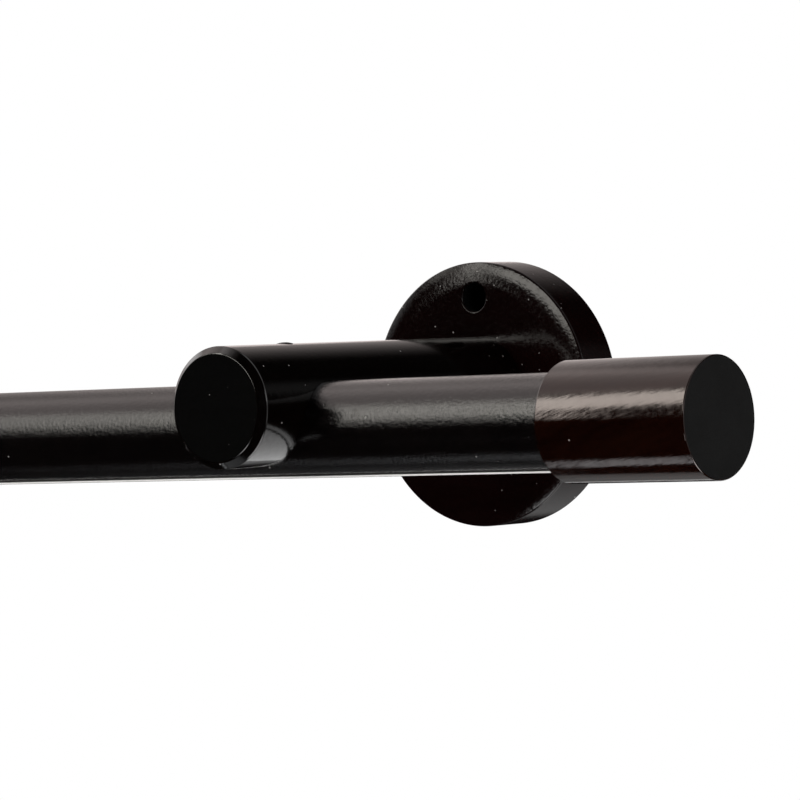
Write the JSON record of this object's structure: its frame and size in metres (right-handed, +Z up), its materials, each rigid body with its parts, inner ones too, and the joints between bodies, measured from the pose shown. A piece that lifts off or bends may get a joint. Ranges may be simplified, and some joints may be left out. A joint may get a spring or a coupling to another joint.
{
  "type": "wooden curtain rod",
  "caption": "Round wooden curtain rod with a glider track let into its underside, turned end caps, and dowel arms on round wall roses that carry it clear of the wall.",
  "frame": {"origin": "on the wall plane, midway between the brackets, level with the axes of the bracket arms", "axes": "+X along the rod, +Y into the wall, +Z up"},
  "size_m": [0.804, 0.141, 0.0816],
  "materials": {
    "rod_wood": "satin black lacquer over fine wood grain",
    "bracket_wood": "gloss black lacquer",
    "finial_wood": "gloss dark brown lacquer, matt end",
    "track_plastic": "extruded white",
    "screw_steel": "zinc plated",
    "screw_black": "blackened"
  },
  "bodies": {
    "root": {"rod": "rod_wood", "track": "track_plastic", "left_finial": "finial_wood", "left_bracket_arm": "bracket_wood", "left_wall_rose": "bracket_wood", "left_arm_screw": "screw_steel", "left_rod_screw": "screw_black", "right_finial": "finial_wood", "right_bracket_arm": "bracket_wood", "right_wall_rose": "bracket_wood", "right_arm_screw": "screw_steel", "right_rod_screw": "screw_black"}
  },
  "joints": []
}
